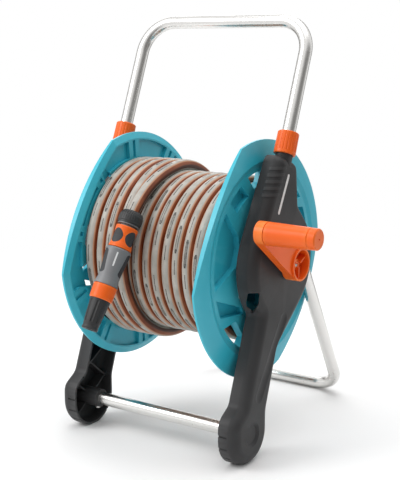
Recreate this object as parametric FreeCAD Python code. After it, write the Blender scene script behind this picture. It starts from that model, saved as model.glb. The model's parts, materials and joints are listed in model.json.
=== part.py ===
import FreeCAD, Part
import math
import os

# Garden hose reel on a portable stand. Millimetres, +Z up, -Y is the front, +X is the crank side.
# The shapes are drawn with the floor at z = 0, the reel's axle along X at y = 0 and the reel's
# middle at x = 0. save() then moves the origin to the middle of the footprint, leaving the hose out.

V = FreeCAD.Vector
X_AXIS = V(1, 0, 0)

# ---- driving dimensions -------------------------------------------------------------------------
TUBE_R = 9.5                # all chromed tubes are 19 mm outside
TUBE_WALL = 1.2
FIT = 0.05                  # radial clearance of a fitted or running joint

AXLE_Z = 267.0              # height of the reel's axle
FLANGE_R = 170.0
FLANGE_IN = 105.5           # inner face of each flange
FLANGE_RIM = 113.0          # outer side of the flange at its edge
FLANGE_RIDGE = 119.0        # outer side of the flange at the ridge line
RIDGE_R = 141.0
RIM_BEVEL = 9.0             # sloped band round the inner edge of each flange
RIM_BEVEL_OUT = 110.0
WEB_OUT = 117.0             # top of the spokes
PLATE = 2.8                 # plate left under the pockets
FLAT_ANGLE = 147.5          # direction of the flattened side of the flanges, from +Y towards +Z
FLAT_MIN_R = 147.5
FLAT_HALF_ANGLE = 39.0

HOSE_R = 8.75               # 13 mm (half inch) hose, 17.5 mm outside
TURNS_PER_LAYER = 12
UPPER_TURNS = 5
CORE_R = 85.0
CORE_WALL = 3.0
LAYER_STEP = 15.4           # a layer lies in the grooves of the one below
WINDING_HALF = 105.2
LAST_TURN_END = 105.0       # angle where the hose leaves the winding

FRAME_IN = 126.5            # open inner edge of each side frame
FRAME_OUT = 155.0           # closed outer face of each side frame
FRAME_WALL = 3.4
FRAME_ROUND = 14.0
BAR_COUNT = 5               # raised bars on the upper arm
BAR_TOP = 403.0
BAR_PITCH = 8.6
BAR_WIDTH = 4.0
BAR_RISE = 0.9
BAR_REACH = 17.0
BAR_IN = 139.0
FOOT_Y = -88.5
FOOT_R = 43.0
FOOT_LAND = 0.8             # height ground off the round foot, which leaves a flat to stand on

LEAN = math.radians(21.7)   # the handle leans back
NECK_Y = 8.3                # where the handle's axis passes the bottom of the lock collars
NECK_Z = 416.8
HANDLE_X = 142.7
HANDLE_RISE = 196.3         # from the bottom of the collars to the middle of the top bar
HANDLE_BEND = 48.0
HANDLE_TRAVEL = 100.0
GUIDE_LENGTH = 62.0         # moulded guide for the handle inside each side frame
GUIDE_R = 12.0
CHANNEL_R = 11.0            # room below the guide for the sliding handle
STOP_R = 10.6               # head of the plug in the lower end of the handle
COLLAR_R = 15.5
COLLAR_LENGTH = 32.0
NECK_R = 12.2

STAND_Y = 248.0             # middle of the rear floor bar
STAND_CORNER_X = 116.0
STAND_BEND = 45.0
STAND_ENTRY = V(135.0, 84.6, 239.0)   # where each rear upright goes into its side frame
STAND_INSERT = 42.0

BUSH_R = 21.0
JOURNAL_R = 17.0
GRIP_R = 106.4              # crank radius
GRIP_ANGLE = 147.5
CRANK_IN = 158.7            # inner side of the crank's hub
ARM_IN = 163.0              # inner side of its arm
CRANK_OUT = 175.0
CRANK_RING_OUT = 178.0
CRANK_RING_R = 23.0
GRIP_END = 251.0

# Free end of the hose: from the last turn, over the front, into the connector's nut.
HOSE_TAIL = [
    V(-26.2, -32.2, 387.3),
    V(-25.8, -59.0, 379.0),
    V(-24.8, -85.0, 366.6),
    V(-23.0, -107.0, 351.0),
    V(-21.4, -121.5, 337.4),
]
NOZZLE_TIP = V(-33.0, -205.6, 188.3)
NOZZLE_BASE = HOSE_TAIL[-1]
NOZZLE_AXIS = (NOZZLE_TIP - NOZZLE_BASE).normalize()
HOSE_TAIL.append(NOZZLE_BASE + NOZZLE_AXIS * 15.0)

FACE_ANGLE = 36.0           # direction of the nozzle's plain faces, round its axis
PAD_LENGTH = 21.0
PAD_WIDTH = 17.6
PAD_MIDDLE = 38.0
PANEL_WIDTH = 24.0

INLET_X = -173.0            # vertical leg of the inlet elbow
INLET_BOTTOM = 222.0
INLET_SCREW_R = 23.6
SEAL_X = (-118.0, -126.0)
SEAL_MID_R = 7.75
SEAL_R = 0.9

FRONT_Y = -168.9            # foremost reach of the flanges
BOX_X = (INLET_X - 12.0 + GRIP_END) / 2
BOX_Y = (FRONT_Y + STAND_Y + TUBE_R) / 2
ORIGIN = V(-BOX_X, -BOX_Y, 0)


# ---- helpers ------------------------------------------------------------------------------------
def polar(radius, degrees, x=0.0):
    a = math.radians(degrees)
    return V(x, radius * math.cos(a), AXLE_Z + radius * math.sin(a))


def x_rod(radius, x0, x1, y=0.0, z=AXLE_Z):
    return Part.makeCylinder(radius, x1 - x0, V(x0, y, z), X_AXIS)


def x_ring(outer, inner, x0, x1, y=0.0, z=AXLE_Z):
    return x_rod(outer, x0, x1, y, z).cut(x_rod(inner, x0 - 1, x1 + 1, y, z))


def polygon(points, x):
    corners = [V(x, y, z) for y, z in points]
    return Part.Face(Part.makePolygon(corners + corners[:1]))


def x_revolve(profile):
    """Turn a closed (x, r) outline about the reel's axle."""
    corners = [V(x, 0, AXLE_Z + r) for x, r in profile]
    face = Part.Face(Part.makePolygon(corners + corners[:1]))
    return face.revolve(V(0, 0, AXLE_Z), X_AXIS, 360)


def rounded_path(points, radii):
    """Straight runs joined by tangent arcs; one radius for each inner point."""
    edges = []
    start = points[0]
    for i, radius in enumerate(radii):
        corner = points[i + 1]
        back = (points[i] - corner).normalize()
        onward = (points[i + 2] - corner).normalize()
        half = back.getAngle(onward) / 2
        reach = radius / math.tan(half)
        enter = corner + back * reach
        leave = corner + onward * reach
        bisector = (back + onward).normalize()
        middle = corner + bisector * (radius / math.sin(half) - radius)
        edges.append(Part.LineSegment(start, enter).toShape())
        edges.append(Part.Arc(enter, middle, leave).toShape())
        start = leave
    edges.append(Part.LineSegment(start, points[-1]).toShape())
    return Part.Wire(edges)


def sweep(path, radius, start, direction):
    circle = Part.Wire([Part.makeCircle(radius, start, direction)])
    return path.makePipeShell([circle], True, False)


def bent_tube(points, radii):
    path = rounded_path(points, radii)
    direction = points[1] - points[0]
    outside = sweep(path, TUBE_R, points[0], direction)
    inside = sweep(path, TUBE_R - TUBE_WALL, points[0], direction)
    return outside.cut(inside)


def handle_point(s, x=0.0):
    return V(x, NECK_Y + s * math.sin(LEAN), NECK_Z + s * math.cos(LEAN))


HANDLE_AXIS = V(0, math.sin(LEAN), math.cos(LEAN))


def handle_rod(radius, s0, s1, x):
    return Part.makeCylinder(radius, s1 - s0, handle_point(s0, x), HANDLE_AXIS)


def mirrored(shape):
    return shape.mirror(V(0, 0, 0), X_AXIS)


def along(shape, base, direction):
    """Move a shape drawn up the Z axis so that it runs from base along direction."""
    shape.Placement = FreeCAD.Placement(base, FreeCAD.Rotation(V(0, 0, 1), direction))
    return shape


def z_revolve(profile):
    """Turn a closed (r, z) outline about Z."""
    corners = [V(r, 0, z) for r, z in profile]
    face = Part.Face(Part.makePolygon(corners + corners[:1]))
    return face.revolve(V(0, 0, 0), V(0, 0, 1), 360)


def group(shapes):
    return Part.makeCompound(shapes)


def save(name, shape):
    shape = shape.copy()
    shape.translate(ORIGIN)
    shape.exportStep("parts/%s.step" % name)
    box = shape.optimalBoundingBox()
    print("%-20s solids %2d valid %-5s volume %9.0f  x %.1f..%.1f y %.1f..%.1f z %.1f..%.1f" % (
        name, len(shape.Solids), shape.isValid(), shape.Volume,
        box.XMin, box.XMax, box.YMin, box.YMax, box.ZMin, box.ZMax))


# ---- side frames --------------------------------------------------------------------------------
FOOT_Z = FOOT_R - FOOT_LAND

# Leaf-shaped outline as (y, z, corner radius): foot, leg, disc round the axle, leaning upper arm.
OUTLINE = [
    (FOOT_Y - FOOT_R, -FOOT_LAND, FOOT_R), (-131.5, 68.0, 22.0), (-106.0, 84.0, -14.0), (-61.2, 203.5, -8.0),
    (-107.0, 253.3, 84.0), (-14.2, 421.0, 14.6), (31.1, 402.8, 14.6), (36.5, 344.5, -12.0),
    (120.2, 260.6, 84.0), (-16.2, 149.0, -30.0), (-45.5, 66.0, -30.0), (FOOT_Y + FOOT_R, -FOOT_LAND, FOOT_R),
]


def rounded_outline(corners, inset, x):
    """Closed outline drawn in by inset; a negative corner radius marks a hollow corner."""
    count = len(corners)
    points = [V(x, y, z) for y, z, radius in corners]
    moved = []
    for i in range(count):
        before = (points[i] - points[i - 1]).normalize()
        after = (points[(i + 1) % count] - points[i]).normalize()
        inward_1 = V(0, before.z, -before.y)
        inward_2 = V(0, after.z, -after.y)
        moved.append(points[i] + (inward_1 + inward_2) * (inset / (1 + inward_1.dot(inward_2))))
    edges = []
    ends = []
    for i in range(count):
        radius = abs(corners[i][2] - inset)
        back = (moved[i - 1] - moved[i]).normalize()
        onward = (moved[(i + 1) % count] - moved[i]).normalize()
        half = back.getAngle(onward) / 2
        reach = radius / math.tan(half)
        bisector = (back + onward).normalize()
        middle = moved[i] + bisector * (radius / math.sin(half) - radius)
        ends.append((moved[i] + back * reach, middle, moved[i] + onward * reach))
    for i in range(count):
        enter, middle, leave = ends[i]
        edges.append(Part.Arc(enter, middle, leave).toShape())
        following = ends[(i + 1) % count][0]
        if (following - leave).Length > 1e-3:
            edges.append(Part.LineSegment(leave, following).toShape())
    return Part.Face(Part.Wire(edges))


def frame_block(inset, x0, x1, edge_round):
    """Solid of the frame's outline, drawn in by inset, with the edge round its outer face rounded."""
    block = rounded_outline(OUTLINE, inset, x0).extrude(V(x1 - x0, 0, 0))
    rim = [e for e in block.Edges if min(v.X for v in e.Vertexes) > x1 - 0.01]
    return block.makeFillet(edge_round, rim)


def rib(start, end, depth_from):
    """Thin stiffening wall inside the frame, between two (y, z) points."""
    a = V(depth_from, start[0], start[1])
    b = V(depth_from, end[0], end[1])
    run = b - a
    side = run.cross(X_AXIS).normalize() * 1.1
    wire = Part.makePolygon([a + side, b + side, b - side, a - side, a + side])
    return Part.Face(wire).extrude(V(FRAME_OUT - depth_from, 0, 0))


RIBS = [
    ((-125, 70), (-40, 120)), ((-108, 112), (-48, 62)),
    ((-108, 112), (-10, 172)), ((-92, 150), (-25, 108)),
    ((-92, 150), (30, 215)), ((-75, 200), (5, 150)),
    ((-130, 10), (-40, 75)), ((-125, 75), (-45, 8)),
    ((-30, 250), (-85, 230)), ((30, 250), (80, 225)),
    ((22, 290), (60, 330)), ((5, 300), (15, 360)),
]


def hole_plug():
    """Opening in the front of the frame: flat on top and narrowing to a round end below."""
    depth = 34.0
    outline = [(-8, 13), (8, 13), (8, -3), (3, -20), (-3, -20), (-8, -3)]
    corners = [V(u, 0, w) for u, w in outline]
    face = Part.Face(Part.makePolygon(corners + corners[:1]))
    prism = face.extrude(V(0, depth, 0))
    for level, radius in ((13, 2.5), (-3, 10.0), (-20, 3.0)):
        upright = [e for e in prism.Edges if abs(e.BoundBox.YLength - depth) < 1e-3
                   and abs(e.CenterOfMass.z - level) < 0.5]
        prism = prism.makeFillet(radius, upright)
    prism.rotate(V(0, 0, 0), V(0, 0, 1), 45)
    prism.translate(V(158, -88, 226))
    return prism


def arm_bars():
    """Short raised bars round the front outer corner of the upper arm."""
    skin = frame_block(-BAR_RISE, BAR_IN, FRAME_OUT + BAR_RISE, FRAME_ROUND + BAR_RISE)
    bars = []
    for k in range(BAR_COUNT):
        z = BAR_TOP - BAR_PITCH * k
        front = OUTLINE[5][0] - (OUTLINE[5][1] - z) * 0.554
        box = Part.makeBox(60, BAR_REACH + 10, BAR_WIDTH, V(BAR_IN, front - 10, z - BAR_WIDTH))
        bars.append(skin.common(box))
    return bars


def foot_treads():
    """Shallow grooves across the edge of the round foot."""
    grooves = []
    for degrees in range(100, 341, 24):
        a = math.radians(degrees)
        y = FOOT_Y + FOOT_R * math.cos(a)
        z = FOOT_Z + FOOT_R * math.sin(a)
        if z > 6 or degrees > 330:
            grooves.append(x_rod(1.3, FRAME_IN - 1, FRAME_OUT - FRAME_ROUND - 1, y, z))
    return grooves


def side_frame():
    outer = frame_block(0, FRAME_IN, FRAME_OUT, FRAME_ROUND)
    outer = outer.fuse(arm_bars())
    cavity = frame_block(FRAME_WALL, FRAME_IN - 1, FRAME_OUT - FRAME_WALL, FRAME_ROUND - FRAME_WALL)
    shell = outer.cut(cavity)
    ribs = [rib(a, b, FRAME_IN + 8).common(cavity) for a, b in RIBS]
    bearing = x_rod(BUSH_R + 5, FRAME_IN - 2, FRAME_OUT)
    crossbar_boss = x_rod(13.5, 112, FRAME_OUT - 1, FOOT_Y, FOOT_Z)
    handle_guide = handle_rod(GUIDE_R, -GUIDE_LENGTH, -8, HANDLE_X)
    neck = handle_rod(NECK_R, -20, 14, HANDLE_X)
    up = (STAND_ENTRY - V(STAND_CORNER_X, STAND_Y, TUBE_R)).normalize()
    stand_socket = Part.makeCylinder(13.2, STAND_INSERT + 6, STAND_ENTRY - up * 2, up).common(
        frame_block(0, FRAME_IN, FRAME_OUT, FRAME_ROUND))
    shell = shell.fuse(ribs + [bearing, crossbar_boss, handle_guide, neck, stand_socket])
    cuts = [
        x_rod(BUSH_R, FRAME_IN - 3, FRAME_OUT + 1),
        x_rod(TUBE_R + FIT, 111, FRAME_OUT - 6, FOOT_Y, FOOT_Z),
        handle_rod(TUBE_R + FIT + 0.03, -GUIDE_LENGTH, 15, HANDLE_X),
        handle_rod(CHANNEL_R, -GUIDE_LENGTH - HANDLE_TRAVEL - 22, -GUIDE_LENGTH, HANDLE_X),
        Part.makeCylinder(TUBE_R + FIT, STAND_INSERT + 30, STAND_ENTRY - up * 30, up),
        hole_plug(),
        Part.makeCone(17.5, 13.0, 3.0, V(FRAME_OUT + 0.01, FOOT_Y, FOOT_Z), V(-1, 0, 0)),
        Part.makeBox(80, 120, 20, V(100, FOOT_Y - 60, -20)),
        groove(),
    ] + foot_treads()
    for cutter in cuts:
        shell = shell.cut(cutter)
    return shell.removeSplitter()


def groove():
    """Shallow hollow down the outer face of the leg."""
    top = V(FRAME_OUT + 23.2, -8, 188)
    foot = V(FRAME_OUT + 23.2, -72, 92)
    run = foot - top
    rod = Part.makeCylinder(25.0, run.Length, top, run)
    return rod.fuse([Part.makeSphere(25.0, top), Part.makeSphere(25.0, foot)])


# ---- stand tubes, screws, bushes, inlet -----------------------------------------------------------
def front_crossbar():
    reach = FRAME_OUT - 6.5
    return x_ring(TUBE_R, TUBE_R - TUBE_WALL, -reach, reach, FOOT_Y, FOOT_Z)


def rear_stand():
    corner = V(STAND_CORNER_X, STAND_Y, TUBE_R)
    up = (STAND_ENTRY - corner).normalize()
    top = STAND_ENTRY + up * STAND_INSERT
    points = [V(-top.x, top.y, top.z), V(-corner.x, corner.y, corner.z), corner, top]
    return bent_tube(points, [STAND_BEND, STAND_BEND])


def screw(length, head_r=3.6, shank_r=1.9):
    body = Part.makeCylinder(head_r, 2.4).fuse(Part.makeCylinder(shank_r, length, V(0, 0, 2.4)))
    return body.cut(Part.makeBox(4.6, 0.9, 1.2, V(-2.3, -0.45, -0.01))).cut(
        Part.makeBox(0.9, 4.6, 1.2, V(-0.45, -2.3, -0.01)))


def crossbar_screws():
    """One screw from the inner side of each foot boss into the crossbar."""
    found = []
    for side in (-1, 1):
        found.append(along(screw(6.0), V(side * 119, FOOT_Y, FOOT_Z - 13.5 - 2.2), V(0, 0, 1)))
    return group(found)


def bush():
    """Flanged plastic bush between the side frame and the reel's journal."""
    sleeve = x_ring(BUSH_R - FIT, JOURNAL_R + FIT, FRAME_IN - 2, FRAME_OUT)
    lip = x_ring(BUSH_R + 3.5, JOURNAL_R + FIT, FRAME_IN - 4, FRAME_IN - 2)
    return sleeve.fuse(lip).removeSplitter()


def inlet_elbow():
    """Fixed water inlet: a spigot inside the rotating journal, an elbow and a tap nipple below."""
    plate = x_rod(27, -FRAME_OUT - 3.5, -FRAME_OUT)
    spigot = x_rod(8.6, -FRAME_OUT, -112)
    body = x_rod(12, INLET_X, -FRAME_OUT - 3)
    ball = Part.makeSphere(12, V(INLET_X, 0, AXLE_Z))
    leg = Part.makeCylinder(12, 20, V(INLET_X, 0, AXLE_Z - 20))
    nipple = z_revolve([(0, 0), (7.2, 0), (7.9, 1.5), (7.9, 5.0), (6.9, 6.2), (6.9, 9.8), (7.9, 11.0),
                        (7.9, 16.5), (9.8, 18.5), (9.8, 26.0), (0, 26.0)])
    nipple.translate(V(INLET_X, 0, INLET_BOTTOM))
    shape = plate.fuse([spigot, body, ball, leg, nipple])
    shape = shape.cut(x_rod(5.0, INLET_X, -111))
    shape = shape.cut(Part.makeCylinder(5.0, 60, V(INLET_X, 0, INLET_BOTTOM - 1)))
    for x in SEAL_X:
        shape = shape.cut(x_ring(9, SEAL_MID_R - SEAL_R, x - SEAL_R - 0.1, x + SEAL_R + 0.1))
    for k in range(3):
        hole = polar(INLET_SCREW_R, 90 + 120 * k)
        shape = shape.cut(x_rod(2.0, -FRAME_OUT - 5, -FRAME_OUT + 1, hole.y, hole.z))
    return shape.removeSplitter()


def inlet_screws():
    found = []
    for k in range(3):
        seat = polar(INLET_SCREW_R, 90 + 120 * k, -FRAME_OUT - 5.9)
        found.append(along(screw(5.6, 3.4, 1.95), seat, X_AXIS))
    return group(found)


def inlet_seals():
    rings = []
    for x in SEAL_X:
        rings.append(Part.makeTorus(SEAL_MID_R, SEAL_R, V(x, 0, AXLE_Z), X_AXIS))
    return group(rings)


# ---- handle and its lock collars ------------------------------------------------------------------
def handle_tube():
    low = -GUIDE_LENGTH - 12
    points = [handle_point(low, -HANDLE_X), handle_point(HANDLE_RISE, -HANDLE_X),
              handle_point(HANDLE_RISE, HANDLE_X), handle_point(low, HANDLE_X)]
    return bent_tube(points, [HANDLE_BEND, HANDLE_BEND])


def handle_stops():
    """Plugs in the lower ends of the handle; their heads stop it under the guides."""
    plugs = []
    for side in (-1, 1):
        x = side * HANDLE_X
        head = handle_rod(STOP_R, -GUIDE_LENGTH - 12, -GUIDE_LENGTH - 0.5, x)
        head = head.cut(handle_rod(TUBE_R, -GUIDE_LENGTH - 13, -GUIDE_LENGTH, x))
        cap = handle_rod(STOP_R, -GUIDE_LENGTH - 15, -GUIDE_LENGTH - 12, x)
        stem = handle_rod(TUBE_R - TUBE_WALL, -GUIDE_LENGTH - 12, -GUIDE_LENGTH + 2, x)
        plugs.append(head.fuse([cap, stem]).removeSplitter())
    return group(plugs)


def lock_collar(x):
    """Ribbed collar that turns on the frame's neck and clamps the handle."""
    bore = TUBE_R + 0.35
    body = z_revolve([(NECK_R + 0.3, 0), (COLLAR_R - 0.8, 0), (COLLAR_R, 1.0),
                      (COLLAR_R - 0.5, COLLAR_LENGTH - 1.2), (COLLAR_R - 1.7, COLLAR_LENGTH),
                      (bore, COLLAR_LENGTH), (bore, 16.0), (NECK_R + 0.3, 16.0)])
    for k in range(20):
        flute = Part.makeCylinder(1.5, COLLAR_LENGTH - 5, V(COLLAR_R + 0.75, 0, 5))
        flute.rotate(V(0, 0, 0), V(0, 0, 1), 18 * k)
        body = body.cut(flute)
    return along(body, handle_point(0, x), HANDLE_AXIS)


# ---- reel -----------------------------------------------------------------------------------------
def flat_radius(offset):
    """Radius of the flattened stretch at an angle from its middle, and of the arc that makes it."""
    edge_y = FLANGE_R * math.sin(math.radians(FLAT_HALF_ANGLE))
    edge_x = FLANGE_R * math.cos(math.radians(FLAT_HALF_ANGLE))
    rise = FLAT_MIN_R - edge_x
    radius = (edge_y * edge_y + rise * rise) / (2 * rise)
    centre = FLAT_MIN_R - radius
    a = math.radians(offset)
    return centre * math.cos(a) + math.sqrt(radius * radius - (centre * math.sin(a)) ** 2)


def flange_outline(inset):
    """Circle with two opposite flattened arcs, drawn in by inset."""
    edges = []
    for middle in (FLAT_ANGLE, FLAT_ANGLE + 180):
        low = polar(FLANGE_R - inset, middle - FLAT_HALF_ANGLE)
        mid = polar(FLAT_MIN_R - inset, middle)
        high = polar(FLANGE_R - inset, middle + FLAT_HALF_ANGLE)
        edges.append(Part.Arc(low, mid, high).toShape())
        across = polar(FLANGE_R - inset, middle + 90)
        after = polar(FLANGE_R - inset, middle + 180 - FLAT_HALF_ANGLE)
        edges.append(Part.Arc(high, across, after).toShape())
    return Part.Wire(edges)


def outline_at(inset, x):
    wire = flange_outline(inset)
    wire.translate(V(x, 0, 0))
    return wire


def polar_face(corners, x):
    """Face with (radius, degrees) corners; a side between equal radii follows the circle."""
    edges = []
    for i, (radius, degrees) in enumerate(corners):
        next_r, next_a = corners[(i + 1) % len(corners)]
        a = polar(radius, degrees, x)
        b = polar(next_r, next_a, x)
        if radius == next_r:
            middle = polar(radius, (degrees + next_a) / 2, x)
            edges.append(Part.Arc(a, middle, b).toShape())
        else:
            edges.append(Part.LineSegment(a, b).toShape())
    return Part.Face(Part.Wire(edges))


# Pockets and windows of half a flange, as (radius, degrees) corners; the other half repeats them.
POCKETS = [
    [(127, 118.5), (127, 134), (104, 133), (104, 114)],
    [(127, 141), (127, 190), (74, 178), (70, 158), (81, 147)],
    [(127, 196), (127, 209), (86, 231), (82, 224)],
    [(66, 100), (66, 125), (44, 125), (44, 100)],
    [(66, 140), (66, 190), (44, 190), (44, 140)],
    [(66, 205), (66, 260), (44, 260), (44, 205)],
    [(128, 248), (128, 268), (84, 268), (84, 244)],
]
WINDOWS = [
    [(129, 92), (129, 110), (108, 105.5), (112, 96)],
    [(129, 217), (129, 241), (114, 243), (104, 225)],
]
OVAL_WINDOW = (121.0, 165.5, 6.5)
NOTCHES = [
    [(121, 118.5), (144, 121), (144, 126), (121, 128)],
    [(119, 183), (146, 188), (146, 197), (119, 202)],
]
NOTCH_OUT = 111.5


def inner_panels():
    """Shallow panels behind the rim, on the hose side, between ten pairs of narrow ribs."""
    limit = Part.Face(outline_at(RIM_BEVEL + 2.5, FLANGE_IN - 1)).extrude(V(20, 0, 0))
    panels = []
    for k in range(10):
        start = FLAT_ANGLE + 18 + 36 * k
        sector = polar_face([(161, start + 4.5), (161, start + 31.5), (133, start + 31), (133, start + 5)],
                            FLANGE_IN - 1)
        panels.append(sector.extrude(V(6.2, 0, 0)).common(limit))
        slot = polar_face([(162, start - 1.1), (162, start + 1.1), (133, start + 1.3), (133, start - 1.3)],
                          FLANGE_IN - 1)
        panels.append(slot.extrude(V(4.2, 0, 0)).common(limit))
    return panels


def flange_right():
    profile = [
        (98.0, JOURNAL_R), (98.0, 32.0), (FLANGE_IN, 32.0), (FLANGE_IN, 77.0), (99.0, 77.0),
        (99.0, CORE_R - CORE_WALL - FIT), (FLANGE_IN, CORE_R - CORE_WALL - FIT), (FLANGE_IN, FLANGE_R + 5),
        (FLANGE_RIM - 1, FLANGE_R + 5), (FLANGE_RIDGE, RIDGE_R), (WEB_OUT, RIDGE_R - 7), (WEB_OUT, 42.0),
        (121.5, 36.0), (121.5, JOURNAL_R),
    ]
    disc = x_revolve(profile)
    sections = [outline_at(RIM_BEVEL, 90), outline_at(RIM_BEVEL, FLANGE_IN), outline_at(0, RIM_BEVEL_OUT),
                outline_at(0, 130)]
    disc = disc.common(Part.makeLoft(sections, True, True))
    cuts = inner_panels()
    for half in (0, 180):
        for corners in POCKETS:
            turned = [(r, a + half) for r, a in corners]
            cuts.append(polar_face(turned, FLANGE_IN + PLATE).extrude(V(20, 0, 0)))
        for corners in WINDOWS:
            turned = [(r, a + half) for r, a in corners]
            cuts.append(polar_face(turned, 90).extrude(V(40, 0, 0)))
        for corners in NOTCHES:
            turned = [(r, a + half) for r, a in corners]
            cuts.append(polar_face(turned, FLANGE_IN - 1).extrude(V(NOTCH_OUT - FLANGE_IN + 1, 0, 0)))
        r, a, half_width = OVAL_WINDOW
        low = [(r - half_width, a + half - 8.5), (r - half_width, a + half + 8.5),
               (r + half_width, a + half + 6.5), (r + half_width, a + half - 6.5)]
        cuts.append(polar_face(low, 90).extrude(V(40, 0, 0)))
    for cutter in cuts:
        disc = disc.cut(cutter)
    for k in range(4):
        seat = polar(74.5, 32.5 + 90 * k)
        disc = disc.cut(x_rod(2.1, 90, 130, seat.y, seat.z))
    return disc.removeSplitter()


def drum_core():
    core = x_ring(CORE_R, CORE_R - CORE_WALL, -FLANGE_IN, FLANGE_IN)
    bosses = []
    for k in range(4):
        seat = polar(74.5, 32.5 + 90 * k)
        bosses.append(x_rod(4.5, -98.5, 98.5, seat.y, seat.z).cut(x_rod(1.85, -99, 99, seat.y, seat.z)))
        web = polar_face([(83, 32.5 + 90 * k - 1.2), (83, 32.5 + 90 * k + 1.2),
                          (77, 32.5 + 90 * k + 1.3), (77, 32.5 + 90 * k - 1.3)], -98.5)
        bosses.append(web.extrude(V(197, 0, 0)))
    core = core.fuse(bosses)
    port = x_port(HOSE_R + 1.0, 60.0, 95.0)
    return core.cut(port).removeSplitter()


OUTLET_X = -80.0
OUTLET_ANGLE = 250.0


def x_port(radius, r0, r1):
    """Rod that runs outwards from the axle through the core where the hose is connected."""
    start = polar(r0, OUTLET_ANGLE, OUTLET_X)
    end = polar(r1, OUTLET_ANGLE, OUTLET_X)
    return Part.makeCylinder(radius, r1 - r0, start, end - start)


def tie_screws():
    found = []
    for side in (-1, 1):
        for k in range(4):
            seat = polar(74.5, 32.5 + 90 * k, side * (WEB_OUT + 2.5))
            found.append(along(screw(30.0, 4.2, 1.85), seat, V(-side, 0, 0)))
    return group(found)


def journal_right():
    """Hollow trunnion of the crank side, with a square end that drives the crank."""
    shoulder = CRANK_IN - 0.4
    barrel = x_ring(JOURNAL_R, 12.0, 96.0, shoulder)
    collar = x_ring(26.0, 12.0, 94.0, 98.0)
    end = x_rod(JOURNAL_R, shoulder - 6, shoulder)
    square = Part.makeBox(5.2, 16, 16, V(shoulder, -8, AXLE_Z - 8))
    shape = barrel.fuse([collar, end, square])
    return shape.cut(x_rod(2.0, shoulder - 10, shoulder + 10)).removeSplitter()


def journal_left():
    """Hollow trunnion of the water side; the fixed inlet spigot seals in its bore."""
    barrel = x_rod(JOURNAL_R, -FRAME_OUT + 1.5, -96.0)
    collar = x_rod(26.0, -98.0, -90.0)
    shape = barrel.fuse(collar).cut(x_rod(8.6 + 0.08, -FRAME_OUT, -108))
    return shape.cut(x_rod(6.0, -110, -80)).removeSplitter()


def water_tube():
    """Pipe from the left trunnion to the hose outlet in the drum."""
    elbow = V(OUTLET_X, 0, AXLE_Z)
    out = polar(1, OUTLET_ANGLE, OUTLET_X) - elbow
    run = Part.makeCylinder(9.5, 54, elbow, out)
    ball = Part.makeSphere(9.5, elbow)
    stub = x_rod(9.5, -90.0, OUTLET_X)
    bore = Part.makeCylinder(6.0, 60, elbow, out).fuse(x_rod(6.0, -92, OUTLET_X))
    return run.fuse([ball, stub]).cut(bore).removeSplitter()


def outlet_nipple():
    """Barbed nipple that the inner end of the hose is clamped on."""
    length = CORE_R - 54.0
    barb = z_revolve([(4.5, 0), (9.5, 0), (9.5, 4), (6.4, 5), (6.4, 9), (7.2, 9.5), (6.4, 14), (7.2, 14.5),
                      (6.4, 19), (7.2, 19.5), (6.4, 24), (6.4, length - 0.5), (4.5, length - 0.5)])
    start = polar(54, OUTLET_ANGLE, OUTLET_X)
    return along(barb, start, start - V(OUTLET_X, 0, AXLE_Z))


# ---- crank ----------------------------------------------------------------------------------------
def grip_centre(x):
    return polar(GRIP_R, GRIP_ANGLE, x)


def arm_outline(x, inset):
    """Two circles, one round the axle and one round the grip, joined by their tangents."""
    big = CRANK_RING_R - inset
    small = 16.0 - inset
    spread = math.degrees(math.acos((big - small) / GRIP_R))
    hub = polar(0, 0, x)
    tip = grip_centre(x)

    def on(centre, radius, degrees):
        a = math.radians(degrees)
        return centre + V(0, radius * math.cos(a), radius * math.sin(a))

    upper = GRIP_ANGLE + spread
    lower = GRIP_ANGLE - spread
    edges = [
        Part.LineSegment(on(hub, big, lower), on(tip, small, lower)).toShape(),
        Part.Arc(on(tip, small, lower), on(tip, small, GRIP_ANGLE), on(tip, small, upper)).toShape(),
        Part.LineSegment(on(tip, small, upper), on(hub, big, upper)).toShape(),
        Part.Arc(on(hub, big, upper), on(hub, big, GRIP_ANGLE + 180), on(hub, big, lower)).toShape(),
    ]
    return Part.Face(Part.Wire(edges))


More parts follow.
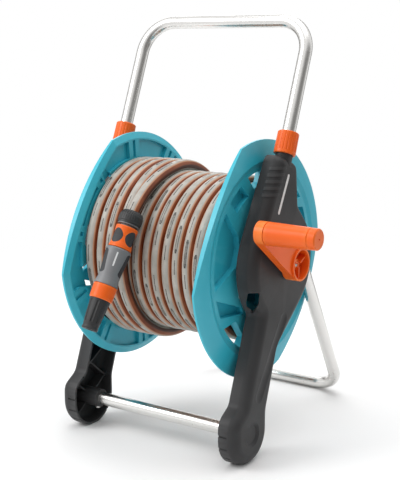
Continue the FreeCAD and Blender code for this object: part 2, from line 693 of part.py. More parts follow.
def crank_arm():
    arm = arm_outline(ARM_IN, 0).extrude(V(CRANK_OUT - ARM_IN, 0, 0))
    hollow = arm_outline(ARM_IN - 1, 2.6).extrude(V(CRANK_OUT - ARM_IN - 2, 0, 0))
    arm = arm.cut(hollow.cut(x_rod(CRANK_RING_R, CRANK_IN - 2, CRANK_OUT)))
    grip = grip_centre(0)
    socket_in = ARM_IN - 1.5
    socket = x_rod(16.0, socket_in, CRANK_OUT + 1, grip.y, grip.z)
    back = [e for e in socket.Edges if abs(e.BoundBox.XMax - socket_in) < 1e-3]
    socket = socket.makeFillet(6.0, back)
    ring = x_ring(CRANK_RING_R, CRANK_RING_R - 2.4, CRANK_IN, CRANK_RING_OUT)
    floor = x_rod(CRANK_RING_R - 1, CRANK_IN, CRANK_IN + 6)
    cup = x_rod(CRANK_RING_R - 2.4, CRANK_IN + 6, CRANK_RING_OUT + 1)
    arm = arm.fuse(socket).cut(cup).fuse([ring, floor])
    webs = []
    for degrees in (27.5, 147.5, 267.5):
        web = Part.makeBox(CRANK_OUT - CRANK_IN - 6, 1.8, CRANK_RING_R - 1.5, V(CRANK_IN + 5, -0.9, 0))
        web.rotate(V(0, 0, 0), X_AXIS, degrees - 90)
        web.translate(V(0, 0, AXLE_Z))
        webs.append(web)
    boss = x_rod(7.5, CRANK_IN + 5, CRANK_IN + 11)
    arm = arm.fuse(webs + [boss])
    arm = arm.cut(Part.makeBox(6.6, 16.1, 16.1, V(CRANK_IN - 1.5, -8.05, AXLE_Z - 8.05)))
    arm = arm.cut(x_rod(2.1, CRANK_IN, CRANK_RING_OUT))
    arm = arm.cut(x_rod(4.0, CRANK_IN + 8, CRANK_RING_OUT + 1))
    arm = arm.cut(x_rod(5.0 + FIT, ARM_IN + 2, CRANK_OUT + 2, grip.y, grip.z))
    return arm.removeSplitter()


def crank_screw():
    return along(screw(14.0, 3.7, 1.95), V(CRANK_IN + 8 + 2.4, 0, AXLE_Z), V(-1, 0, 0))


def grip_pin():
    centre = grip_centre(0)
    return x_rod(5.0, ARM_IN + 2, GRIP_END - 4, centre.y, centre.z)


def crank_grip():
    """Sleeve that turns on its pin."""
    c = grip_centre(CRANK_OUT + 1.4)
    body = z_revolve([(5.08, 0), (15.0, 0), (15.9, 1.0), (14.6, 62.0), (13.8, 63.0), (5.08, 63.0)])
    return along(body, c, X_AXIS)


def grip_cap():
    """End cap pressed on the pin, which keeps the sleeve on."""
    start = CRANK_OUT + 1.4 + 63.0 + 0.4
    c = grip_centre(start)
    length = GRIP_END - start
    body = z_revolve([(0, 0), (13.8, 0), (14.4, 0.8), (14.2, length - 1.6), (12.8, length),
                      (1.3, length), (1.3, length - 1.5), (0, length - 1.5)])
    body = body.cut(Part.makeCylinder(5.0, length - 4))
    return along(body, c, X_AXIS)


# ---- hose, connector and nozzle -------------------------------------------------------------------
LAYER_1 = CORE_R + 0.2 + HOSE_R
LAYER_2 = LAYER_1 + LAYER_STEP
LAYER_3 = LAYER_2 + LAYER_STEP


def hose_winding():
    """Outer shape of the wound hose: two full layers and five turns of a third."""
    full = x_ring(LAYER_2 + HOSE_R, CORE_R, -WINDING_HALF, WINDING_HALF)
    upper_end = -WINDING_HALF + 2 * HOSE_R * (UPPER_TURNS - 1)
    upper = x_ring(LAYER_3 + HOSE_R, LAYER_2, -WINDING_HALF, upper_end)
    last = x_ring(LAYER_3 + HOSE_R, LAYER_2, upper_end, upper_end + 2 * HOSE_R)
    gap_corners = [(160, LAST_TURN_END), (160, 150), (160, 190), (80, 190), (80, LAST_TURN_END)]
    gap = polar_face(gap_corners, upper_end)
    last = last.cut(gap.extrude(V(2 * HOSE_R + 1, 0, 0)))
    shape = full.fuse([upper, last])
    for cutter in hose_clearance():
        shape = shape.cut(cutter)
    return shape.removeSplitter()


def tail_radii():
    radii = []
    for i in range(1, len(HOSE_TAIL) - 1):
        before = HOSE_TAIL[i] - HOSE_TAIL[i - 1]
        after = HOSE_TAIL[i + 1] - HOSE_TAIL[i]
        half_turn = before.getAngle(after) / 2
        radii.append(0.45 * min(before.Length, after.Length) / math.tan(half_turn))
    return radii


def tail_tube(radius):
    return sweep(rounded_path(HOSE_TAIL, tail_radii()), radius, HOSE_TAIL[0], HOSE_TAIL[1] - HOSE_TAIL[0])


def hose_tail():
    tube = tail_tube(HOSE_R)
    path = rounded_path(HOSE_TAIL, tail_radii())
    print("hose tail: radii %s, length %.1f, volume against section times length %.4f" % (
        ["%.0f" % r for r in tail_radii()], path.Length, tube.Volume / (math.pi * HOSE_R ** 2 * path.Length)))
    return tube


def hose_clearance():
    """Room for the leaving hose and for the connector, which presses between the turns."""
    nut = along(Part.makeCylinder(18.2, 74, V(0, 0, -4)), NOZZLE_BASE, NOZZLE_AXIS)
    return [tail_tube(HOSE_R + 0.25), nut]


def on_nozzle(shape):
    return along(shape, NOZZLE_BASE, NOZZLE_AXIS)


def rod_between(radius, start, end):
    return Part.makeCylinder(radius, (end - start).Length, start, end - start)


def connector_nut():
    """Domed nut that clamps the hose on the connector, with a knurled grip."""
    body = z_revolve([(HOSE_R, -1.5), (11.4, -1.5), (13.6, -0.6), (15.4, 1.8), (16.5, 5.0), (17.0, 9.0),
                      (17.0, 14.0), (16.2, 15.2), (16.2, 17.5), (10.5, 17.5), (10.5, 16.0), (HOSE_R, 16.0)])
    top = V(12.9, 0, -2.0)
    shoulder = V(17.4, 0, 6.0)
    bottom = V(17.8, 0, 13.5)
    flute = rod_between(1.0, top, shoulder).fuse(rod_between(1.0, shoulder, bottom))
    for k in range(30):
        turned = flute.copy()
        turned.rotate(V(0, 0, 0), V(0, 0, 1), 12 * k)
        body = body.cut(turned)
    return on_nozzle(body)


def connector_core():
    """Fixed middle of the quick coupling, with a thin collar behind the sliding sleeve."""
    return on_nozzle(z_revolve([(5.0, 16.1), (10.4, 16.1), (10.4, 17.8), (15.4, 17.8), (15.4, 19.2),
                                (10.4, 19.2), (10.4, 53.0), (9.2, 53.8), (5.0, 53.8)]))


def sleeve_with_pads():
    """Sleeve that is pulled back to release the nozzle, and the four soft pads let into it."""
    sleeve = z_revolve([(10.5, 22.5), (15.6, 22.5), (16.0, 24.0), (15.4, 29.0), (14.2, 37.0), (14.8, 45.0),
                        (16.2, 50.5), (16.6, 53.3), (15.4, 54.0), (10.5, 54.0)])
    skin = z_revolve([(12.3, 26.0), (15.9, 26.0), (15.7, 29.0), (14.6, 37.0), (15.2, 45.0), (15.9, 50.0),
                      (12.3, 50.0)])
    pads = []
    for k in range(4):
        oval = Part.Ellipse(V(0, 0, 0), PAD_LENGTH / 2, PAD_WIDTH / 2).toShape()
        pad = Part.Face(Part.Wire([oval])).extrude(V(0, 0, 12))
        pad.rotate(V(0, 0, 0), V(0, 1, 0), 90)
        pad.translate(V(8, 0, PAD_MIDDLE))
        pad.rotate(V(0, 0, 0), V(0, 0, 1), FACE_ANGLE + 45 + 90 * k)
        pad = pad.common(skin)
        sleeve = sleeve.cut(pad)
        pads.append(on_nozzle(pad))
    return on_nozzle(sleeve), group(pads)


def body_with_panels():
    """Nozzle body with two plain faces, and the softer side panels let in between them."""
    skin = [(17.9, 56.2), (17.7, 64.0), (16.4, 78.0), (15.2, 90.0), (15.0, 97.0)]
    body = z_revolve([(3.5, 40.0), (4.95, 40.0), (4.95, 54.6), (16.8, 54.6)] + skin
                     + [(16.4, 104.5), (16.6, 107.0), (6.0, 107.0), (6.0, 64.0), (3.5, 64.0)])
    proud = [(r + 1.0, z) for r, z in skin]
    low = [(r - 2.0, z) for r, z in reversed(skin)]
    level = [(r - 0.3, z) for r, z in skin]
    seat = z_revolve(proud + low)
    fill = z_revolve(level + low)
    panels = []
    for side in (-90, 90):
        block = Part.makeBox(20, PANEL_WIDTH, 34, V(5, -PANEL_WIDTH / 2, 58.5))
        corners = [e for e in block.Edges if abs(e.BoundBox.XLength - 20) < 1e-3]
        block = block.makeFillet(5.0, corners)
        block.rotate(V(0, 0, 0), V(0, 0, 1), FACE_ANGLE + side)
        body = body.cut(seat.common(block))
        panels.append(on_nozzle(fill.common(block)))
    return on_nozzle(body), group(panels)


def nozzle_ring():
    """Turning ring; its spigot runs inside the nozzle's body."""
    return on_nozzle(z_revolve([(4.0, 90.0), (5.9, 90.0), (5.9, 107.4), (16.0, 107.4), (16.7, 108.5),
                                (16.1, 127.0), (15.2, 128.0), (4.0, 128.0)]))


def nozzle_tip():
    body = z_revolve([(4.0, 128.0), (14.2, 128.0), (11.6, 160.0), (10.8, 166.0), (11.6, 169.0), (10.8, 171.0),
                      (5.5, 171.0), (4.0, 166.0)])
    for k in range(8):
        a = 2 * math.pi * k / 8
        foot = V(15.6 * math.cos(a), 15.6 * math.sin(a), 131)
        top = V(12.6 * math.cos(a), 12.6 * math.sin(a), 161)
        body = body.cut(Part.makeCylinder(2.6, (top - foot).Length, foot, top - foot))
    return on_nozzle(body)


# ---- output ---------------------------------------------------------------------------------------
def main():
    os.makedirs("parts", exist_ok=True)
    frame = side_frame()
    save("side_frame_right", frame)
    save("side_frame_left", mirrored(frame))
    save("front_crossbar", front_crossbar())
    save("rear_stand", rear_stand())
    save("crossbar_screws", crossbar_screws())
    save("bearing_bush_right", bush())
    save("bearing_bush_left", mirrored(bush()))
    save("inlet_elbow", inlet_elbow())
    save("inlet_screws", inlet_screws())
    save("inlet_seals", inlet_seals())

    save("handle_tube", handle_tube())
    save("handle_stops", handle_stops())
    save("lock_collar_right", lock_collar(HANDLE_X))
    save("lock_collar_left", lock_collar(-HANDLE_X))

    right = flange_right()
    save("flange_right", right)
    save("flange_left", mirrored(right))
    save("drum_core", drum_core())
    save("tie_screws", tie_screws())
    save("journal_right", journal_right())
    save("journal_left", journal_left())
    save("water_tube", water_tube())
    save("outlet_nipple", outlet_nipple())

    save("crank_arm", crank_arm())
    save("crank_screw", crank_screw())
    save("grip_pin", grip_pin())
    save("crank_grip", crank_grip())
    save("grip_cap", grip_cap())

    save("hose_winding", hose_winding())
    save("hose_tail", hose_tail())
    save("connector_nut", connector_nut())
    save("connector_core", connector_core())
    sleeve, pads = sleeve_with_pads()
    save("coupling_sleeve", sleeve)
    save("sleeve_pads", pads)
    body, panels = body_with_panels()
    save("nozzle_body", body)
    save("nozzle_panels", panels)
    save("nozzle_ring", nozzle_ring())
    save("nozzle_tip", nozzle_tip())
    print("origin shift %.3f %.3f" % (ORIGIN.x, ORIGIN.y))


main()
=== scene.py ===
import json
import math

import bpy
import bmesh
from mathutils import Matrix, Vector


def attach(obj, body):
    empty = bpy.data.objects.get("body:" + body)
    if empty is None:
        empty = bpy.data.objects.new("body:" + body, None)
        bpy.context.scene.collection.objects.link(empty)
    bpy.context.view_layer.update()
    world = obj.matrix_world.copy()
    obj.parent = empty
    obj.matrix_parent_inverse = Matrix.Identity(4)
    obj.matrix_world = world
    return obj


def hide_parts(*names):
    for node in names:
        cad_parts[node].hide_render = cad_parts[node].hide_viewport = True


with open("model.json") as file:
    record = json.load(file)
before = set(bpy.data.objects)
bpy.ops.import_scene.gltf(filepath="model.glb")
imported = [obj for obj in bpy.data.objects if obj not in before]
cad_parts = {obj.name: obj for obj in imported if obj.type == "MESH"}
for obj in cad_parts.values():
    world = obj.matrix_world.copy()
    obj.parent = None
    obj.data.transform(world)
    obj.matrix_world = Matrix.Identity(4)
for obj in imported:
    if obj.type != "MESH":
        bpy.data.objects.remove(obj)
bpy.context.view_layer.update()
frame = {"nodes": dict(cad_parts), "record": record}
NODES = frame["nodes"]

# The part's own origin, seen from the reel's axle on the floor: metres.
SHIFT = Vector((-0.033, -0.0443, 0.0))
AXLE_Z = 0.267
HOSE_R = 0.00875
HOSE_SIDES = 20

# ---- camera -------------------------------------------------------------------------------------
AZIMUTH, ELEVATION = math.radians(34.287), math.radians(10.796)
cam_data = bpy.data.cameras.new("camera")
cam_data.lens = 76.95
cam_data.clip_start, cam_data.clip_end = 0.05, 50.0
camera = bpy.data.objects.new("camera", cam_data)
bpy.context.scene.collection.objects.link(camera)
back = Vector((math.sin(AZIMUTH) * math.cos(ELEVATION), -math.cos(AZIMUTH) * math.cos(ELEVATION),
               math.sin(ELEVATION)))
camera.location = Vector((0.84262, -1.22453, 0.56634)) + SHIFT
camera.rotation_mode = "QUATERNION"
camera.rotation_quaternion = (-back).to_track_quat("-Z", "Y")
bpy.context.scene.camera = camera


# ---- node helpers -------------------------------------------------------------------------------
def material(name):
    m = bpy.data.materials.new(name)
    m.use_nodes = True
    tree = m.node_tree
    return m, tree, tree.nodes["Principled BSDF"]


def add(tree, kind, **values):
    node = tree.nodes.new(kind)
    for key, value in values.items():
        setattr(node, key, value)
    return node


def link(tree, a, b):
    tree.links.new(a, b)


def noise(tree, scale, detail=3.0, stretch=(1, 1, 1), rough=0.5):
    coord = add(tree, "ShaderNodeTexCoord")
    mapping = add(tree, "ShaderNodeMapping")
    mapping.inputs["Scale"].default_value = stretch
    link(tree, coord.outputs["Object"], mapping.inputs["Vector"])
    n = add(tree, "ShaderNodeTexNoise")
    n.inputs["Scale"].default_value = scale
    n.inputs["Detail"].default_value = detail
    n.inputs["Roughness"].default_value = rough
    link(tree, mapping.outputs["Vector"], n.inputs["Vector"])
    return n.outputs["Fac"]


def remap(tree, value, lo, hi, to_lo, to_hi, interpolation="LINEAR"):
    r = add(tree, "ShaderNodeMapRange", interpolation_type=interpolation)
    r.inputs["From Min"].default_value = lo
    r.inputs["From Max"].default_value = hi
    r.inputs["To Min"].default_value = to_lo
    r.inputs["To Max"].default_value = to_hi
    link(tree, value, r.inputs["Value"])
    return r.outputs["Result"]


def mix(tree, factor, a, b):
    m = add(tree, "ShaderNodeMix", data_type="RGBA")
    for socket, value in ((m.inputs[6], a), (m.inputs[7], b)):
        if isinstance(value, tuple):
            socket.default_value = (*value, 1.0)
        else:
            link(tree, value, socket)
    if isinstance(factor, float):
        m.inputs[0].default_value = factor
    else:
        link(tree, factor, m.inputs[0])
    return m.outputs[2]


def math_node(tree, operation, a, b=None):
    m = add(tree, "ShaderNodeMath", operation=operation)
    for i, value in enumerate((a, b)):
        if value is None:
            continue
        if isinstance(value, (int, float)):
            m.inputs[i].default_value = value
        else:
            link(tree, value, m.inputs[i])
    return m.outputs[0]


def bump(tree, shader, layers):
    """layers: (height value, strength, distance in metres), from the coarsest to the finest."""
    previous = None
    for height, strength, distance in layers:
        b = add(tree, "ShaderNodeBump")
        b.inputs["Strength"].default_value = strength
        b.inputs["Distance"].default_value = distance
        link(tree, height, b.inputs["Height"])
        if previous is not None:
            link(tree, previous, b.inputs["Normal"])
        previous = b.outputs["Normal"]
    link(tree, previous, shader.inputs["Normal"])


# ---- materials ----------------------------------------------------------------------------------
def strip(tree, centre, direction, outward, half_length, half_width, height):
    """1 on a plain round-ended strip on a surface: direction runs along it, outward faces off it."""
    direction = Vector(direction).normalized()
    outward = Vector(outward).normalized()
    aside = direction.cross(outward)
    coord = add(tree, "ShaderNodeTexCoord")

    def measure(axis):
        dot = add(tree, "ShaderNodeVectorMath", operation="DOT_PRODUCT")
        link(tree, coord.outputs["Object"], dot.inputs[0])
        dot.inputs[1].default_value = axis
        return math_node(tree, "SUBTRACT", dot.outputs["Value"], axis.dot(centre))

    past_end = math_node(tree, "SUBTRACT", math_node(tree, "ABSOLUTE", measure(direction)), half_length)
    past_end = math_node(tree, "MAXIMUM", past_end, 0.0)
    across = measure(aside)
    squared = math_node(tree, "ADD", math_node(tree, "MULTIPLY", past_end, past_end),
                        math_node(tree, "MULTIPLY", across, across))
    inside = math_node(tree, "LESS_THAN", squared, half_width * half_width)
    on_face = math_node(tree, "GREATER_THAN", measure(outward), -height)
    return math_node(tree, "MULTIPLY", inside, on_face)


def print_strip(shader_material, mask_arguments, colour):
    """Put a plain strip of one colour on a finished plastic."""
    tree = shader_material.node_tree
    shader = tree.nodes["Principled BSDF"]
    below = shader.inputs["Base Color"].links[0].from_socket
    mask = strip(tree, *mask_arguments)
    link(tree, mix(tree, mask, below, colour), shader.inputs["Base Color"])


def plastic(name, colour, rough=0.4, grain=0.15, tint=0.08, gloss=0.4, edge=None, scale=1.0):
    """Moulded plastic: fine grain, faint flow marks, and sharp edges made a little lighter as a painted
    highlight.
    """
    m, tree, shader = material(name)
    flow = noise(tree, 9.0 * scale, 4.0, (1, 1, 0.45))
    dark = tuple(c * (1 - tint) for c in colour)
    light = tuple(min(1.0, c * (1 + tint) + 0.004) for c in colour)
    base = mix(tree, remap(tree, flow, 0.3, 0.7, 0, 1), dark, light)
    if edge is not None:
        # Painted highlight: the sharpest convex edges are mixed towards the lighter edge colour.
        geometry = add(tree, "ShaderNodeNewGeometry")
        wear_and_edge_highlight = remap(tree, geometry.outputs["Pointiness"], 0.52, 0.62, 0.0, 0.6)
        base = mix(tree, wear_and_edge_highlight, base, edge)
    link(tree, base, shader.inputs["Base Color"])
    patch = noise(tree, 28.0 * scale, 3.0)
    link(tree, remap(tree, patch, 0.3, 0.7, rough - 0.05, rough + 0.06), shader.inputs["Roughness"])
    shader.inputs["Specular IOR Level"].default_value = gloss
    wave = noise(tree, 22.0 * scale, 2.0)
    fine = noise(tree, 1700.0 * scale, 2.0)
    bump(tree, shader, [(wave, 0.25, 0.0006), (fine, grain, 0.00006)])
    return m


def metal(name, colour, rough, streak=0.06):
    """Chromed or brushed steel with drawn lines along Z and faint smudges."""
    m, tree, shader = material(name)
    shader.inputs["Metallic"].default_value = 1.0
    smudge = noise(tree, 14.0, 4.0)
    base = mix(tree, remap(tree, smudge, 0.35, 0.7, 0, 1), colour, tuple(c * 0.93 for c in colour))
    link(tree, base, shader.inputs["Base Color"])
    lines = noise(tree, 320.0, 2.0, (1, 1, 0.04))
    both = math_node(tree, "ADD", remap(tree, lines, 0.3, 0.7, 0.0, streak),
                     remap(tree, smudge, 0.3, 0.75, rough - 0.02, rough + 0.06))
    link(tree, both, shader.inputs["Roughness"])
    bump(tree, shader, [(lines, 0.08, 0.00003)])
    return m


# The edge colours are painted highlights, laid on the sharp edges of each plastic.
TEAL = plastic("teal_plastic", (0.028, 0.42, 0.545), rough=0.34, grain=0.12, tint=0.06,
               edge=(0.09, 0.56, 0.68))
DARK = plastic("frame_plastic", (0.034, 0.034, 0.035), rough=0.46, grain=0.5, tint=0.10, gloss=0.22,
               edge=(0.085, 0.085, 0.087))
DRUM = plastic("drum_plastic", (0.03, 0.03, 0.033), rough=0.45, grain=0.3)
ORANGE = plastic("orange_plastic", (0.84, 0.122, 0.009), rough=0.33, grain=0.15, tint=0.05, gloss=0.3,
                 edge=(0.97, 0.27, 0.05))
GREY = plastic("grey_plastic", (0.195, 0.197, 0.204), rough=0.4, grain=0.3, tint=0.08, scale=2.0)
BLACK = plastic("black_plastic", (0.026, 0.026, 0.027), rough=0.42, grain=0.35, tint=0.1, scale=2.0)
PAD = plastic("grip_rubber", (0.036, 0.037, 0.040), rough=0.6, grain=0.6, tint=0.1, scale=2.0)
CHROME = metal("chrome_tube", (0.76, 0.75, 0.73), 0.19)
STEEL = metal("steel_screws", (0.62, 0.61, 0.6), 0.28)

# Plain pale strips where the real one is printed: on both arms' outer faces and on the nozzle.
NOZZLE_BASE = Vector((-0.0214, -0.1215, 0.3374))
NOZZLE_TIP = Vector((-0.0330, -0.2056, 0.1883))
NOZZLE_AXIS = (NOZZLE_TIP - NOZZLE_BASE).normalized()
NOZZLE_FACE = Vector((0.61, -0.71, 0.35))
for side in (-1, 1):
    middle = Vector((side * 0.155, -0.0125, 0.365)) + SHIFT
    print_strip(DARK, (middle, (0, 0.466, 0.885), (side, 0, 0), 0.027, 0.0026, 0.001), (0.70, 0.70, 0.69))
middle = NOZZLE_BASE + NOZZLE_AXIS * 0.071 + SHIFT
print_strip(GREY, (middle, NOZZLE_AXIS, NOZZLE_FACE, 0.009, 0.0011, -0.008), (0.68, 0.68, 0.68))

SLOT_MATERIALS = {
    "frame_plastic": DARK, "chrome_tube": CHROME, "teal_plastic": TEAL, "drum_plastic": DRUM,
    "orange_plastic": ORANGE, "grey_plastic": GREY, "black_plastic": BLACK, "grip_rubber": PAD,
    "steel_screws": STEEL,
}


def repaint():
    slots = {part["node"]: part["material_slot"] for part in frame["record"]["subparts"]}
    for name, obj in NODES.items():
        chosen = SLOT_MATERIALS.get(slots[name])
        if chosen is None:
            continue
        obj.data.materials.clear()
        obj.data.materials.append(chosen)


repaint()


# ---- hose ---------------------------------------------------------------------------------------
DIAMETER = 2 * HOSE_R
CORE_R = 0.085
CORE_GAP = 0.0002
LAYER_STEP = 0.0154                     # the turns nest between those of the layer below
LAYER_R = [CORE_R + CORE_GAP + HOSE_R + LAYER_STEP * k for k in range(3)]
START_X = -0.09625                      # first turn, against the left flange
END_X = -0.0262                         # last turn, where the free end leaves
OUTLET_X = -0.080
OUTLET_ANGLE = 250.0
LAST_ANGLE = 105.0
FIRST_LAYER_END, SECOND_LAYER_END = 11.55, 23.3     # in turns
CLIMB = 0.5                             # turns taken to climb to the next layer
TURNS = SECOND_LAYER_END + CLIMB + (END_X - START_X) / DIAMETER
POINTS_PER_TURN = 20
FIRST_WOUND_POINT = 6                   # the points before it would lie behind the outlet's own
LOOSE_FROM_TURN = 12
WOBBLE = 0.0011                         # the outer turns are laid a little unevenly
CHORD = 1 / math.cos(math.pi / POINTS_PER_TURN)     # the line cuts inside its control points

# Free end of the hose: the same points as the CAD route, from the winding to inside the nut.
TAIL = [
    (-0.0262, -0.0322, 0.3873), (-0.0258, -0.0590, 0.3790), (-0.0248, -0.0850, 0.3666),
    (-0.0230, -0.1070, 0.3510), (-0.0214, -0.1215, 0.3374),
]


def polar(radius, degrees, x):
    a = math.radians(degrees)
    return Vector((x, radius * math.cos(a), AXLE_Z + radius * math.sin(a)))


def smooth(t):
    t = min(1.0, max(0.0, t))
    return t * t * (3 - 2 * t)


def winding_place(turn):
    """(radius, x) of the hose after so many turns: across, back, and across again."""
    if turn < FIRST_LAYER_END:
        return LAYER_R[0], START_X + DIAMETER * max(0.0, turn - 0.35) * (11.0 / 11.2)
    if turn < SECOND_LAYER_END:
        rise = smooth((turn - FIRST_LAYER_END) / CLIMB)
        x = -START_X - DIAMETER * max(0.0, turn - FIRST_LAYER_END - CLIMB) * (11.0 / 11.25)
        return LAYER_R[0] + (LAYER_R[1] - LAYER_R[0]) * rise, x
    rise = smooth((turn - SECOND_LAYER_END) / CLIMB)
    x = START_X + DIAMETER * max(0.0, turn - SECOND_LAYER_END - CLIMB)
    return LAYER_R[1] + (LAYER_R[2] - LAYER_R[1]) * rise, x


def hose_route():
    """Points of the wound hose, from the outlet in the drum to the start of the free end."""
    points = [polar(0.066, OUTLET_ANGLE, OUTLET_X), polar(0.078, OUTLET_ANGLE, OUTLET_X - 0.001),
              polar(0.089, OUTLET_ANGLE + 5, OUTLET_X - 0.006),
              polar(0.0935, OUTLET_ANGLE + 14, START_X + 0.003)]
    start_angle = LAST_ANGLE - 360.0 * TURNS
    count = int(TURNS * POINTS_PER_TURN)
    for k in range(FIRST_WOUND_POINT, count):
        turn = TURNS * k / count
        radius, x = winding_place(turn)
        wobble = 0.0
        if turn > LOOSE_FROM_TURN:
            wobble = WOBBLE * math.sin(2.3 * turn + 0.7) * math.sin(6.283 * turn * 0.93)
        points.append(polar(radius * CHORD, start_angle + 360.0 * turn, x + wobble))
    return points


def make_route(points):
    """The smooth line through the hose's control points, as a list of places."""
    curve = bpy.data.curves.new("hose_line", "CURVE")
    curve.dimensions = "3D"
    curve.resolution_u = 7
    spline = curve.splines.new("NURBS")
    spline.points.add(len(points) - 1)
    for p, target in zip(spline.points, points):
        p.co = (*target, 1.0)
    spline.order_u = 3
    spline.use_endpoint_u = True
    obj = bpy.data.objects.new("hose_line", curve)
    bpy.context.scene.collection.objects.link(obj)
    mesh = bpy.data.meshes.new_from_object(obj)
    line = [v.co.copy() for v in mesh.vertices]
    bpy.data.meshes.remove(mesh)
    bpy.data.objects.remove(obj)
    bpy.data.curves.remove(curve)
    return line


def tube_mesh(name, line, radius, sides):
    """Tube whose UV is (metres along, turns round); round = 0 faces away from the reel's axle."""
    mesh = bpy.data.meshes.new(name)
    bm = bmesh.new()
    uv = bm.loops.layers.uv.new("UVMap")
    rings = []
    lengths = [0.0]
    for a, b in zip(line, line[1:]):
        lengths.append(lengths[-1] + (b - a).length)
    across = Vector((1, 0, 0))
    for i, p in enumerate(line):
        tangent = (line[min(i + 1, len(line) - 1)] - line[max(i - 1, 0)]).normalized()
        side = (across - tangent * across.dot(tangent)).normalized()
        out = tangent.cross(side)
        ring = []
        for k in range(sides):
            a = 2 * math.pi * k / sides
            ring.append(bm.verts.new(p + (out * math.cos(a) + side * math.sin(a)) * radius))
        rings.append(ring)
    for i in range(len(rings) - 1):
        for k in range(sides):
            n = (k + 1) % sides
            face = bm.faces.new((rings[i][k], rings[i][n], rings[i + 1][n], rings[i + 1][k]))
            face.smooth = True
            corners = ((lengths[i], k), (lengths[i], k + 1), (lengths[i + 1], k + 1), (lengths[i + 1], k))
            for loop, (u, v) in zip(face.loops, corners):
                loop[uv].uv = (u, v / sides)
    bm.faces.new(list(reversed(rings[0])))
    bm.faces.new(rings[-1])
    bm.normal_update()
    bm.to_mesh(mesh)
    bm.free()
    obj = bpy.data.objects.new(name, mesh)
    bpy.context.scene.collection.objects.link(obj)
    return obj


PRINT_REPEAT = 0.134                    # the marks come again after this length of hose


def hose_material():
    """PVC hose: grey-beige back, reddish-brown stripes on both sides, plain bars and dashes, with a painted
    peach highlight and painted shade in the valleys between turns.
    """
    m, tree, shader = material("hose_pvc")
    uv = add(tree, "ShaderNodeUVMap")
    uv.uv_map = "UVMap"
    split = add(tree, "ShaderNodeSeparateXYZ")
    link(tree, uv.outputs["UV"], split.inputs["Vector"])
    along, round_ = split.outputs["X"], split.outputs["Y"]
    # signed turn round the hose, -0.5..0.5, 0 outwards
    shifted = math_node(tree, "SUBTRACT", math_node(tree, "FRACT", math_node(tree, "ADD", round_, 0.5)), 0.5)
    # the hose is a little twisted, so the stripes wander from turn to turn
    slow = math_node(tree, "SINE", math_node(tree, "MULTIPLY", along, 2.37))
    slower = math_node(tree, "SINE", math_node(tree, "MULTIPLY", along, 0.83))
    drift = math_node(tree, "ADD", math_node(tree, "MULTIPLY", slow, 0.018),
                      math_node(tree, "MULTIPLY", slower, 0.014))
    wound = math_node(tree, "ADD", shifted, drift)
    grey = (0.33, 0.308, 0.272)
    pale = (0.46, 0.44, 0.40)
    brown = (0.170, 0.036, 0.010)
    rust = (0.275, 0.070, 0.021)
    valley_shade = (0.060, 0.016, 0.007)
    peach_highlight = (0.50, 0.255, 0.145)
    soft = noise(tree, 60.0, 3.0)
    body = mix(tree, remap(tree, soft, 0.3, 0.7, 0, 1), grey, pale)

    def band(low, high, edge):
        """1 between two places round the hose, with soft edges."""
        rise = remap(tree, wound, low - edge, low + edge, 0.0, 1.0)
        fall = remap(tree, wound, high - edge, high + edge, 1.0, 0.0)
        return math_node(tree, "MULTIPLY", rise, fall)

    stripe = mix(tree, remap(tree, noise(tree, 25.0, 2.0), 0.35, 0.65, 0, 1), brown, rust)
    # Painted highlight: peach bands along the inner edges of the stripes.
    for low, high in ((-0.185, -0.105), (0.098, 0.150)):
        body = mix(tree, band(low, high, 0.012), body, peach_highlight)
    for low, high in ((-0.30, -0.172), (0.132, 0.30)):
        body = mix(tree, band(low, high, 0.010), body, stripe)
    # Painted shade: dark bands in the valleys between neighbouring turns.
    for low, high in ((-0.32, -0.225), (0.225, 0.32)):
        body = mix(tree, band(low, high, 0.020), body, valley_shade)
    # plain marks: a bar and two thin dashes, once in each stretch; every other bar is paler inside
    stretch = math_node(tree, "FRACT", math_node(tree, "DIVIDE", along, PRINT_REPEAT))
    pairs = math_node(tree, "FRACT", math_node(tree, "DIVIDE", along, 2 * PRINT_REPEAT))
    every_other = math_node(tree, "GREATER_THAN", pairs, 0.5)

    def mark(start, end, half_width):
        inside = math_node(tree, "MULTIPLY", math_node(tree, "GREATER_THAN", stretch, start),
                           math_node(tree, "LESS_THAN", stretch, end))
        aside = math_node(tree, "ABSOLUTE", shifted)
        return math_node(tree, "MULTIPLY", inside, math_node(tree, "LESS_THAN", aside, half_width))

    bar = math_node(tree, "MAXIMUM", mark(0.30, 0.54, 0.040), mark(0.285, 0.555, 0.028))
    slit = mark(0.325, 0.515, 0.020)
    paler = math_node(tree, "ADD", math_node(tree, "MULTIPLY", every_other, 0.45), 0.28)
    bar = math_node(tree, "SUBTRACT", bar, math_node(tree, "MULTIPLY", slit, paler))
    dashes = math_node(tree, "MAXIMUM", mark(0.05, 0.22, 0.014), mark(0.62, 0.76, 0.014))
    ink = math_node(tree, "MAXIMUM", bar, dashes)
    wear_and_edge_highlight = remap(tree, noise(tree, 420.0, 2.0), 0.35, 0.6, 0.6, 0.95)
    body = mix(tree, math_node(tree, "MULTIPLY", ink, wear_and_edge_highlight), body, (0.022, 0.020, 0.019))
    link(tree, body, shader.inputs["Base Color"])
    shader.inputs["Roughness"].default_value = 0.38
    shader.inputs["Specular IOR Level"].default_value = 0.35
    cords = math_node(tree, "SINE", math_node(tree, "ADD", math_node(tree, "MULTIPLY", along, 900.0),
                                              math_node(tree, "MULTIPLY", round_, 62.83)))
    fine = noise(tree, 900.0, 2.0)
    bump(tree, shader, [(cords, 0.05, 0.00012), (fine, 0.12, 0.00005)])
    return m


HOSE = hose_material()
IN_NUT = NOZZLE_BASE + NOZZLE_AXIS * 0.015
line = make_route([p + SHIFT for p in hose_route() + [Vector(p) for p in TAIL] + [IN_NUT]])
hose = tube_mesh("hose", line, HOSE_R, HOSE_SIDES)
hose.data.materials.append(HOSE)
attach(hose, "reel")
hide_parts("hose_winding", "hose_tail")


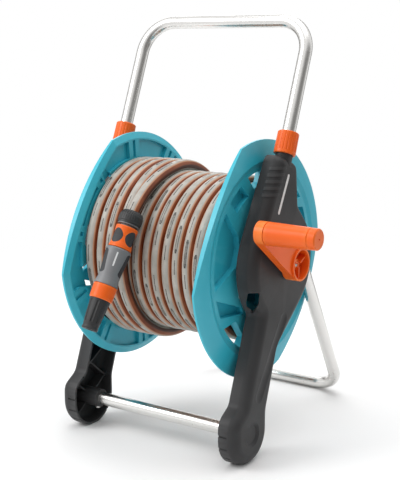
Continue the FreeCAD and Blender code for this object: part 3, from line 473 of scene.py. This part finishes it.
# ---- floor and light ----------------------------------------------------------------------------
FLOOR_R = 2.6
FLOOR_DROP = 0.0005                     # keeps the floor just clear of the feet
FADE_START, FADE_END = 0.35, 1.5        # the floor is opaque inside the first, gone past the second


def stage_floor():
    """Pale round floor that fades out into the studio's white surroundings."""
    mesh = bpy.data.meshes.new("floor")
    bm = bmesh.new()
    bmesh.ops.create_circle(bm, cap_ends=True, segments=64, radius=FLOOR_R)
    bm.to_mesh(mesh)
    bm.free()
    floor = bpy.data.objects.new("floor", mesh)
    bpy.context.scene.collection.objects.link(floor)
    floor.location = (0, 0, -FLOOR_DROP)
    m, tree, shader = material("floor_paper")
    shader.inputs["Base Color"].default_value = (0.90, 0.90, 0.90, 1)
    shader.inputs["Roughness"].default_value = 0.9
    coord = add(tree, "ShaderNodeTexCoord")
    length = add(tree, "ShaderNodeVectorMath", operation="LENGTH")
    link(tree, coord.outputs["Object"], length.inputs[0])
    fade = remap(tree, length.outputs["Value"], FADE_START, FADE_END, 1.0, 0.0, "SMOOTHSTEP")
    link(tree, fade, shader.inputs["Alpha"])
    floor.data.materials.append(m)


def soft_light(name, place, target, size_x, size_y, power):
    data = bpy.data.lights.new(name, "AREA")
    data.shape = "RECTANGLE"
    data.size, data.size_y = size_x, size_y
    data.energy = power
    lamp = bpy.data.objects.new(name, data)
    lamp.location = place
    lamp.rotation_mode = "QUATERNION"
    lamp.rotation_quaternion = (Vector(target) - Vector(place)).to_track_quat("-Z", "Y")
    bpy.context.scene.collection.objects.link(lamp)


def studio_world():
    """White surroundings, with a grey ring and two grey patches that draw the edges of the chrome."""
    world = bpy.data.worlds.new("studio")
    bpy.context.scene.world = world
    world.use_nodes = True
    tree = world.node_tree
    coord = add(tree, "ShaderNodeTexCoord")

    def patch(direction, start, full):
        """0..1 towards one direction, with a soft edge."""
        dot = add(tree, "ShaderNodeVectorMath", operation="DOT_PRODUCT")
        link(tree, coord.outputs["Generated"], dot.inputs[0])
        dot.inputs[1].default_value = Vector(direction).normalized()
        return remap(tree, dot.outputs["Value"], start, full, 0.0, 1.0, "SMOOTHSTEP")

    # a grey frame round the white wall behind the reel draws thin dark edges on the tubes
    wall = (-0.553, 0.812, -0.187)
    ring = math_node(tree, "SUBTRACT", patch(wall, 0.50, 0.66), patch(wall, 0.88, 0.95))
    colour = mix(tree, ring, (1.0, 1.0, 1.0), (0.30, 0.295, 0.29))
    colour = mix(tree, patch((0.90, -0.25, -0.20), 0.35, 0.85), colour, (0.24, 0.237, 0.232))
    colour = mix(tree, patch((0.45, -0.75, -0.45), 0.70, 0.92), colour, (0.26, 0.255, 0.25))
    background = tree.nodes["Background"]
    link(tree, colour, background.inputs["Color"])
    background.inputs["Strength"].default_value = 1.0


stage_floor()
studio_world()
soft_light("key", (-1.3, -1.5, 1.7), (0, 0, 0.3), 1.0, 1.2, 21)
soft_light("top", (0.1, 0.2, 2.2), (0, 0, 0.2), 1.6, 1.6, 16)
soft_light("back", (-1.2, 1.6, 1.3), (0, 0, 0.25), 1.4, 1.0, 8)
bpy.context.scene.view_settings.view_transform = "Standard"
